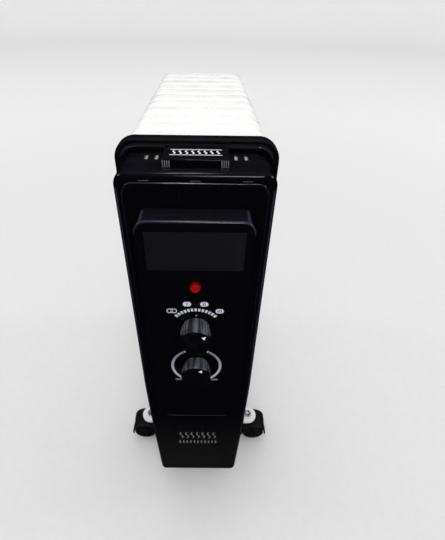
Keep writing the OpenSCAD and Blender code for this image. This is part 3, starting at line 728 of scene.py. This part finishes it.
def build_rear_housing():
    """Lip round the first fin: outer rounded ridge, groove, inner ridge, and the wall in front."""
    back, front = LIP_HIGH[1], SHELL_HIGH[1]

    def outline(inset):
        return rounded_rect(LIP_HIGH[0] - LIP_LOW[0] - 2 * inset, LIP_LOW[2] + inset, LIP_HIGH[2] - inset,
                            22 - inset * 0.8, 14)
    ridge = front + 4.5
    section = [(2.5, ridge + 3), (2.5, back - 0.6)] + rounded_corner(2.4, 1.2, back - 0.4, back, 3)
    section += rounded_corner(1.0, 0, back, back - 1.4, 4, False)
    section += rounded_corner(0, 3.2, ridge + 3.6, ridge, 7)
    section += [(4.0, ridge + 0.05), (4.6, ridge + 0.2), (5.0, ridge - 0.1)]
    section += rounded_corner(5.2, 8.2, ridge - 1.0, front + 0.2, 7)
    section += [(9.2, front + 0.4), (9.9, front + 1.1), (10.6, front + 1.3)]
    wall = [(60, front + 1.3), (60, front + 2.5), (6, front + 2.5), (5.4, ridge + 2.5)]
    shape = outline_loft(outline, section + wall, ring_closed=True)
    lip = add_piece("rear_housing_moulding", shape, "satin_black", "heater", ["rear_housing"])

    def ridge_ends(at, n):
        return (front + 0.2 < at.y < ridge - 1 and at.z > LIP_HIGH[2] - 22 and abs(at.x) > 38
                and 0.75 < -n.y < 0.93 and abs(n.x) < 0.5)
    # Painted highlight: a paler copy of the gloss black on the inner ridge near both top corners.
    paint_highlight_on(lip, PAINTED_EDGE_HIGHLIGHT, ridge_ends)


def build_top_plate():
    """Cover over the filler, with upright ribs at both ends of its front face."""
    low, high = box_mm("top_plate")
    face_y = low[1] + 0.6
    body = soft_box((low[0], face_y, low[2] - 0.3), high, 1.4)
    middles = [side * (high[0] - 1.8 - 2.0 * k) for side in (-1, 1) for k in range(4)]
    ribs = [soft_box((x - 0.5, low[1], low[2] + 0.3), (x + 0.5, face_y + 1, high[2] - 1.0), 0.3)
            for x in middles]
    add_piece("top_plate_moulding", body, "gloss_black", "heater", ["top_plate"])
    # The ribs get grey ink as a painted highlight on the black plastic.
    add_piece("top_plate_ribs_painted_highlight", join(*ribs), "gloss_black", "heater", material=DIM_PRINT)


def build_console():
    """Raised panel with a pocket for the inlay and a shallow recess round the controls."""
    low_z, high_z = CONSOLE_LOW[2], CONSOLE_HIGH[2]
    width = CONSOLE_HIGH[0] - CONSOLE_LOW[0]

    def outline(inset):
        return rounded_rect(width - 2 * inset, low_z + inset, high_z - inset, 13 - inset / 2, 12)
    section = [(2.5, FRONT - 0.1), (0.4, FRONT - 0.1), (0.0, FRONT - 0.5), (0.2, FRONT - 9),
               (0.4, PANEL + 3.5)]
    section += rounded_corner(0.45, 3.0, PANEL + 2.6, PANEL, 8)
    body = outline_loft(outline, section, cap_first=False)
    console = add_piece("console_moulding", body, "gloss_black", "heater", ["console"])
    inlay_low, inlay_high = box_mm("inlay_panel")
    gap = 0.35
    recess_top, recess_r = inlay_low[2] - 4, 5
    pocket = rounded_rect(inlay_high[0] * 2 + 2 * gap, inlay_low[2] - gap, inlay_high[2] + gap, 1.6, 4)
    recess = rounded_rect(86, 274, recess_top, recess_r, 8)
    carve(console, [prism_y(pocket, PANEL - 5, PANEL + 0.8), prism_y(recess, PANEL - 5, PANEL + RECESS)])

    def on_shoulder(at):
        return PANEL + 0.3 < at.y < PANEL + 2.7

    def in_recess(at):
        return at.y < PANEL + RECESS - 0.01

    def top_edge(at, n):
        return (on_shoulder(at) and at.z > high_z - 14 and n.y > -0.98
                or at.y > PANEL + 2 and at.z > high_z - 12 and 0.35 < abs(n.x) < 0.6
                or in_recess(at) and at.z < low_z + 30 and n.z > 0.5)

    def side_edges(at, n):
        return (in_recess(at) and at.z < recess_top - recess_r and abs(n.x) > 0.5
                or on_shoulder(at) and at.z > high_z - 30 and 0.6 < abs(n.x) < 0.85)
    # Painted highlights: paler copies of the gloss black on the top edge, the upper corners and the recess edges.
    paint_highlight_on(console, PAINTED_RIM_HIGHLIGHT, top_edge)
    paint_highlight_on(console, PAINTED_EDGE_HIGHLIGHT, side_edges)


def prism_y(points, y0, y1):
    """Prism along Y over (x, z) points."""
    return loft([[(x, y0, z) for x, z in points], [(x, y1, z) for x, z in points]])


def build_inlay():
    """Plain grey laminate in the console's pocket."""
    low, high = box_mm("inlay_panel")
    shape = soft_box((low[0], low[1] - 0.1, low[2]), high, 0.5)
    add_piece("inlay_laminate", shape, "inlay_grey", "heater", ["inlay_panel"])


def build_lens():
    """Domed lens with faint prism facets."""
    low, high = box_mm("pilot_lens")
    mid, r = (low[2] + high[2]) / 2, (high[2] - low[2]) / 2
    start = low[1] + r
    profile = [(r - 0.9, PANEL + 4), (r - 0.9, PANEL - 0.05), (r - 0.2, PANEL - 0.1), (r, PANEL - 0.4),
               (r, start)]
    profile += [(r * math.cos(a), start - r * math.sin(a))
                for a in [math.pi / 2 * k / 12 for k in range(1, 12)]]
    profile.append((0.05, low[1]))

    def facets(size, y, angle):
        return size * (1 + 0.015 * math.cos(10 * angle)) if y < start - 0.5 else size
    shape = lathe_y(0, mid, profile, 80, facets)
    add_piece("pilot_lens_dome", shape, "lens_red", "heater", ["pilot_lens"])


# ------------------------ knobs and printed marks

KNOB_FOOT_R = 16.2
KNOB_R = 17.6
KNOB_LIFT = 1.6
RIBS = 30
RIB_RISE, RIB_DIP = 0.45, 0.25
SELECTOR_REST, THERMOSTAT_REST = 48, 28


def knob_shape(z, front):
    """Ribbed knob that widens to its face, with a hollow back round the shaft's socket."""
    back = PANEL - 0.6
    rib_low, rib_high = back - 1.4, front + 2.6

    def side_r(y):
        return KNOB_FOOT_R + (KNOB_R - KNOB_FOOT_R) * (back - y) / (back - front)
    profile = [(KNOB_FOOT_R - 2, back), (KNOB_FOOT_R - 0.5, back), (KNOB_FOOT_R, back - 0.5)]
    ribbed = [rib_low + 0.1 + (rib_high - rib_low - 0.2) * k / 6 for k in range(7)]
    profile += [(side_r(y), y) for y in ribbed]
    profile += [(KNOB_R - 0.1, front + 1.8), (KNOB_R - 0.4, front + 0.8), (KNOB_R - 0.9, front + 0.2),
                (KNOB_R - 1.5, front), (KNOB_R - 8, front + 0.1), (0.05, front + 0.2)]

    def ribs(r, y, angle):
        if not rib_high < y < rib_low:
            return r
        swell = math.cos(RIBS * angle)
        return r + RIB_RISE * max(0.0, swell) ** 0.7 - RIB_DIP * max(0.0, -swell)
    shape = lathe_y(0, z, profile, RIBS * 8, ribs)
    hollow = [(KNOB_FOOT_R - 2, back), (KNOB_FOOT_R - 2.2, front + 4), (6, front + 4), (6, back - 2),
              (3.1, back - 2), (3.1, front + 6)]
    return join(shape, lathe_y(0, z, hollow, 48, cap_first=False))


PRINT_D, PRINT_SINK = 0.15, 0.05
SCALE_R, LABEL_R = 31.0, 36.0
SIGN_Z = 160


def flat_polygon(points, y, thick=PRINT_D):
    """Thin raised print on a face that looks along -Y."""
    return prism_y(points, y - thick, y + PRINT_SINK)


def polar(z, r, degrees):
    """Point at r and at degrees clockwise from the top, seen from the front."""
    a = math.radians(degrees)
    return r * math.sin(a), z + r * math.cos(a)


def pointer(z, degrees, y, tip=15.4, tail=10.9, half=2.3):
    """White triangle near the rim of a knob's face."""
    a = math.radians(degrees)
    along, across = (math.sin(a), math.cos(a)), (math.cos(a), -math.sin(a))
    corners = [(tip, 0), (tail, half), (tail, -half)]
    return flat_polygon([(r * along[0] + s * across[0], z + r * along[1] + s * across[1])
                         for r, s in corners], y, 0.25)


def arc_block(z, r0, r1, start, end, y, steps=3):
    """Block of a ring between two radii and two angles."""
    outer = [polar(z, r1, start + (end - start) * k / steps) for k in range(steps + 1)]
    inner = [polar(z, r0, start + (end - start) * k / steps) for k in range(steps, -1, -1)]
    return flat_polygon(outer + inner, y)


def pill(cx, cz, w, h, y, ring=0.0):
    """Rounded label, filled or as an outline of the given width."""
    r = min(w, h) / 2 * 0.98
    points = [(cx + x, z) for x, z in rounded_rect(w, cz - h / 2, cz + h / 2, r, 6)]
    if not ring:
        return flat_polygon(points, y)
    inside = [(cx + x, z) for x, z in rounded_rect(w - 2 * ring, cz - h / 2 + ring, cz + h / 2 - ring,
                                                   max(r - ring, 0.2), 6)]
    rings = [[(x, y + PRINT_SINK, z) for x, z in points], [(x, y - PRINT_D, z) for x, z in points],
             [(x, y - PRINT_D, z) for x, z in inside], [(x, y + PRINT_SINK, z) for x, z in inside]]
    return loft(rings, ring_closed=True)


def bar(x0, z0, x1, z1, width, y, thick=PRINT_D):
    """Straight printed stroke between two points."""
    dx, dz = x1 - x0, z1 - z0
    length = math.hypot(dx, dz)
    ox, oz = -dz / length * width / 2, dx / length * width / 2
    corners = [(x0 + ox, z0 + oz), (x1 + ox, z1 + oz), (x1 - ox, z1 - oz), (x0 - ox, z0 - oz)]
    return flat_polygon(corners, y, thick)


def wave(cx, z0, z1, swing, width, y, steps=14):
    """Upright wavy stroke, a plain sign for warmth."""
    left, right = [], []
    for k in range(steps + 1):
        t = k / steps
        x = cx + swing * math.sin(2 * math.pi * t)
        z = z0 + (z1 - z0) * t
        left.append((x - width / 2, z))
        right.append((x + width / 2, z))
    return flat_polygon(left + right[::-1], y)


def build_knobs():
    """Both knobs, each with a pointer at its rest angle."""
    for name, z, body, angle in (("selector_knob", SELECTOR_Z, "selector", SELECTOR_REST),
                                 ("thermostat_knob", THERMOSTAT_Z, "thermostat_dial", THERMOSTAT_REST)):
        front = box_mm(name)[0][1] + KNOB_LIFT
        add_piece(name + "_moulding", knob_shape(z, front), "knob_black", body, [name], sharp_deg=45)
        mark = pointer(z, angle, front + 0.1)
        add_piece(name + "_pointer", mark, "knob_black", body, material=BRIGHT_PRINT)


def selector_scale():
    """Blocks over the selector's travel and four labels: 0, I, II and III."""
    y = PANEL + RECESS
    blocks, reach, centre = 13, 46.4, SELECTOR_Z - 2.3
    parts = [arc_block(centre, SCALE_R - 3.9, SCALE_R, a - 2.45, a + 2.45, y)
             for a in [-reach + 2 * reach * k / (blocks - 1) for k in range(blocks)]]
    parts.append(pill(0.6, SELECTOR_Z + 18.4, 1.5, 1.5, y))
    marks = []
    for count, angle in enumerate((-46, -14.8, 14.8, 46)):
        x, z = polar(SELECTOR_Z, LABEL_R, angle)
        if count == 0:
            parts.append(pill(x, z, 11.2, 6.2, y, 0.8))
            parts.append(pill(x, z, 2.6, 3.6, y, 0.6))
            continue
        parts.append(pill(x, z, 8.9, 6.2, y))
        for k in range(count):
            offset = (k - (count - 1) / 2) * 1.9
            marks.append(bar(x + offset, z - 1.9, x + offset, z + 1.9, 0.8, y - 0.15, 0.08))
    return join(*parts), join(*marks)


def thermostat_scale():
    """Ring of ticks, open at the top, that close up into a band, and a plain bar for each lower end."""
    y = PANEL + RECESS
    ticks, start, end, centre = 17, 28.0, 140.0, THERMOSTAT_Z - 1.8
    step = (end - start) / (ticks - 1)
    parts = []
    for side in (-1, 1):
        for k in range(ticks):
            a = side * (start + step * k)
            fill = step * (0.23 + 0.28 * min(1.0, k / 13) ** 1.5)
            parts.append(arc_block(centre, SCALE_R - 3.1, SCALE_R, a - fill, a + fill, y, 2))
    return join(*parts), join(*[pill(side * 23, centre - 27, 8.4, 3.3, y) for side in (-1, 1)])


def warm_air_sign():
    """Plain sign for warm air: a row of waves above a row of short upright bars."""
    y = FRONT + 0.05
    parts = [wave(-27 + 9 * k, SIGN_Z + 4, SIGN_Z + 22, 2.2, 2.0, y) for k in range(7)]
    parts += [pill(-30 + 6 * k, SIGN_Z - 8, 2.2, 9, y) for k in range(11)]
    return join(*parts)


def top_sign():
    """Row of short waves between two thin rules, lying on the top plate."""
    low, high = box_mm("top_plate")
    mid_y = (low[1] + high[1]) / 2
    parts = [wave(-21 + 6 * k, -4.6, 4.6, 1.0, 1.5, 0.0, 10) for k in range(8)]
    parts += [pill(0, side * 7.6, 50, 1.1, 0.0) for side in (-1, 1)]
    shape = join(*parts)
    return mapped(shape, lambda x, y, z: (x, mid_y + z, high[2] - y))


def build_marks():
    """Everything that is printed on the housing."""
    white, dark = selector_scale()
    ring, ends = thermostat_scale()
    for name, shape, ink in (("selector_scale_print", white, SCALE_PRINT),
                             ("selector_label_bars", dark, None),
                             ("thermostat_scale_print", ring, PRINT),
                             ("thermostat_end_bars_print", ends, DIM_PRINT),
                             ("warm_air_sign_print", warm_air_sign(), DIM_PRINT),
                             ("top_sign_print", top_sign(), BRIGHT_PRINT)):
        add_piece(name, shape, "gloss_black", "heater", material=ink)


# ------------------------ casters

WHEEL_R = 22
HOOD_W = 42
TRAIL = 13
WEB_D = 13


def hood_shape(x, y, side):
    """Arched hood with raised ribs, the web between the wheels and the socket on top."""
    centre = x + side * TRAIL
    half = HOOD_W / 2
    outer_r, inner_r = WHEEL_R + 4, WHEEL_R + 1.8
    ribs = [(-half, 1.2), (-half + 0.4, 0.4), (-half + 1.4, 0.0), (-half + 3.2, 0.0), (-half + 3.8, 0.7),
            (-half + 7.5, 0.7), (-half + 8.1, 0.0), (-7.6, 0.0), (-7.0, 0.7)]
    across = [(yy, outer_r - d) for yy, d in ribs] + [(-yy, outer_r - d) for yy, d in reversed(ribs)]
    across += [(half - 0.3, inner_r), (-half + 0.3, inner_r)]
    start, end, steps = -10, 190, 40
    rings = []
    for k in range(steps + 1):
        a = math.radians(start + (end - start) * k / steps)
        rings.append([(centre + side * r * math.cos(a), y + yy, WHEEL_R + r * math.sin(a))
                      for yy, r in across])
    arch = loft(rings)
    disc = [(centre + px, pz) for px, pz in arc_points(0, WHEEL_R, inner_r + 0.2, -32, 212, 48)]
    web = soft_prism(disc, y - WEB_D / 2, y + WEB_D / 2, 0.6)
    neck_box = soft_box((x - 8, y - WEB_D / 2, WHEEL_R + 4), (x + 8, y + WEB_D / 2, 50.5), 1.0)
    boss = lathe_z(x, y, [(9.4, 44.6), (9.2, 49.6), (8.8, 50.5), (8.0, 51.0), (4.2, 51.0), (4.2, 44.6)])
    return join(arch, web, neck_box, boss)


def soft_prism(points, y0, y1, r):
    """Prism along Y whose two rims are slightly drawn in."""
    cx = sum(p[0] for p in points) / len(points)
    cz = sum(p[1] for p in points) / len(points)

    def ring(y, inset):
        out = []
        for px, pz in points:
            reach = math.hypot(px - cx, pz - cz)
            scale = (reach - inset) / reach
            out.append((cx + (px - cx) * scale, y, cz + (pz - cz) * scale))
        return out
    return loft([ring(y0, r), ring(y0 + r, 0), ring(y1 - r, 0), ring(y1, r)])


def lathe_z(x, y, profile, steps=40, **kind):
    """Turned shape round an upright axis; profile is (radius, z)."""
    rings = [[(x + r * math.cos(2 * math.pi * k / steps), y + r * math.sin(2 * math.pi * k / steps), z)
              for k in range(steps)] for r, z in profile]
    return loft(rings, **kind)


def wheel_shape(x, near, far, outer_side):
    """Wheel with a crowned tread, a grooved rim and a ribbed dish on its outer face."""
    out, inn = (far, near) if outer_side > 0 else (near, far)
    s = 1 if outer_side > 0 else -1
    w = abs(far - near)
    rim = WHEEL_R - 4.2
    profile = [(2.7, inn), (WHEEL_R - 2.5, inn), (WHEEL_R - 1.0, inn + s * 0.5),
               (WHEEL_R - 0.3, inn + s * 1.5), (WHEEL_R, inn + s * 3.2), (WHEEL_R, inn + s * (w - 3.2)),
               (WHEEL_R - 0.3, out - s * 1.5), (WHEEL_R - 1.0, out - s * 0.5), (WHEEL_R - 2.2, out),
               (rim + 0.8, out), (rim + 0.3, out - s * 0.5),
               (rim, out - s * 1.9), (rim - 1.0, out - s * 2.3), (8.2, out - s * 2.1), (7.4, out - s * 1.6),
               (6.6, out - s * 0.3), (5.9, out), (3.0, out), (2.7, out - s * 0.4)]
    parts = [lathe_y(x, WHEEL_R, profile, 72, ring_closed=True)]
    for k in range(6):
        a = 2 * math.pi * k / 6
        spoke = soft_box((-1.1, 0, 7.2), (1.1, 1.7, rim + 0.2), 0.5)
        parts.append(mapped(spoke, lambda px, py, pz, a=a: (
            x + px * math.cos(a) + pz * math.sin(a), out - s * 2.4 + s * py,
            WHEEL_R - px * math.sin(a) + pz * math.cos(a))))
    return join(*parts)


def build_casters():
    """Hood and two wheels at each corner; the axles keep their CAD meshes."""
    for corner in ("front_left", "front_right", "rear_left", "rear_right"):
        side = -1 if corner.endswith("left") else 1
        x, y, _ = joint_place("swivel_" + corner)
        hood = "hood_" + corner
        add_piece(hood + "_moulding", hood_shape(x, y, side), "caster_black", "caster_" + corner, [hood])
        for which, outer in (("near", -1), ("far", 1)):
            name = which + "_wheel_" + corner
            low, high = box_mm(name)
            shape = wheel_shape((low[0] + high[0]) / 2, low[1], high[1], outer)
            add_piece(name + "_tyre", shape, "wheel_black", name, [name])


# ------------------------ carried-over CAD nodes

def dress_nodes():
    """Every CAD node gets its slot's material, except that the brackets get a darker copy of their enamel and the
    axles dark steel, both painted shade, and small bevels where edges show.
    """
    bevel_width = {"front_bracket": 0.7, "rear_bracket": 0.7, "dome_nuts": 0.5, "wing_nuts": 0.4,
                   "oil_filler_plug": 0.5, "mounting_plate": 0.3, "heat_shield": 0.3, "cord_gland": 0.5,
                   "terminal_block": 0.6, "selector_switch": 0.5}
    for name, node in nodes.items():
        node.data.materials.clear()
        material = MATERIALS[slot_of[name]]
        # Painted shade: the brackets get the darker enamel.
        if name.endswith("_bracket"):
            material = SHADED_BRACKET_ENAMEL
        # Painted shade: the axles get dark steel in place of their zinc.
        if name.startswith("axle_"):
            material = SHADED_AXLE_STEEL
        node.data.materials.append(material)
        if name in bevel_width:
            bevel = node.modifiers.new("rounded edges", "BEVEL")
            bevel.width = bevel_width[name] * MM
            bevel.segments = 2
            bevel.limit_method = "ANGLE"
            bevel.angle_limit = math.radians(40)
            bevel.harden_normals = True


# ------------------------ studio

def build_stage():
    """The only piece of the stage: floor and wall in one."""
    paint = stage_material("floor_paint", (0.67,) * 3, (0.745,) * 3, (0.85,) * 3)
    floor = make_mesh("floor", *cove(), paint, 180)
    floor.visible_glossy = False


def cove():
    """Round floor that curves up into a low wall far away on every side."""
    flat, rise, top, drop = 9000, 3500, 8000, -0.02
    profile = [(100, drop), (flat, drop)]
    profile += [(flat + rise * math.sin(a), drop + rise * (1 - math.cos(a)))
                for a in [math.pi / 2 * k / 12 for k in range(1, 13)]]
    profile.append((flat + rise, top))
    return lathe_z(0, 0, profile, 96, cap_last=False)


def stage_material(name, base, far, wall):
    """Matt paint, paler with the distance from the object to make up for the falling light."""
    s = Shader(name, base, 0.9, specular=0.05)
    distance = s.tree.nodes.new("ShaderNodeVectorMath")
    distance.operation = "LENGTH"
    s.link(s.place, distance.inputs[0])
    paint = s.mix(s.ramp(distance.outputs["Value"], 0.8, 3.0), base, far)
    paint = s.mix(s.ramp(distance.outputs["Value"], 8.5, 12.5), paint, wall)
    s.base(s.mix(s.ramp(s.noise(60, 6), 0.3, 0.7, 0.0, 0.03), paint, (0.2, 0.2, 0.2)))
    s.bump(s.noise(300, 3), 0.0002, 0.3)
    return s.material


def area_light(name, place, target, size, power):
    """Rectangular softbox at place that faces target, in metres and watts."""
    data = bpy.data.lights.new(name, "AREA")
    data.shape = "RECTANGLE"
    data.size, data.size_y = size
    data.energy = power
    light = bpy.data.objects.new(name, data)
    light.location = place
    light.rotation_euler = (Vector(target) - Vector(place)).to_track_quat("-Z", "Y").to_euler()
    bpy.context.scene.collection.objects.link(light)


def build_lights():
    """Even white surroundings, a softbox high in front and two beside it that draw the edges."""
    world = bpy.data.worlds.new("studio")
    world.use_nodes = True
    sky = world.node_tree.nodes["Background"].inputs
    sky["Color"].default_value = (1, 1, 1, 1)
    sky["Strength"].default_value = 1.1
    bpy.context.scene.world = world
    world.cycles_visibility.glossy = False
    bpy.context.scene.view_settings.view_transform = "Standard"
    area_light("high_front", (1.0, -4.6, 7.0), (0, 0, 0.4), (2.4, 0.5), 90)
    area_light("overhead", (-0.5, 0.4, 8.2), (0, 0.1, 0.5), (1.8, 0.5), 40)
    area_light("right_side", (6.6, 1.2, 4.6), (0, 0, 0.5), (1.2, 0.8), 48)
    area_light("left_side", (-6.6, 1.2, 4.6), (0, 0, 0.5), (1.2, 0.8), 34)


def build_camera():
    """Wide lens close in front, above the top, looking down along the fins."""
    place = Vector((0.0106, -0.5359, 0.7385))
    down, turn, roll = math.radians(38.98), math.radians(0.41), math.radians(0.86)
    ahead = Vector((math.sin(turn) * math.cos(down), math.cos(turn) * math.cos(down), -math.sin(down)))
    level = Vector((math.cos(turn), -math.sin(turn), 0))
    upright = level.cross(ahead)
    right = level * math.cos(roll) + upright * math.sin(roll)
    up = upright * math.cos(roll) - level * math.sin(roll)
    data = bpy.data.cameras.new("camera")
    data.lens = 23.97
    data.shift_x = 0.0273
    data.shift_y = 0.036
    data.clip_start = 0.02
    camera = bpy.data.objects.new("camera", data)
    rotation = Matrix((right, up, -ahead)).transposed().to_4x4()
    camera.matrix_world = Matrix.Translation(place) @ rotation
    bpy.context.scene.collection.objects.link(camera)
    bpy.context.scene.camera = camera


build_camera()
build_lights()
build_stage()
dress_nodes()
build_fins()
build_front_shell()
build_rear_housing()
build_top_plate()
build_console()
build_inlay()
build_lens()
build_knobs()
build_marks()
build_casters()
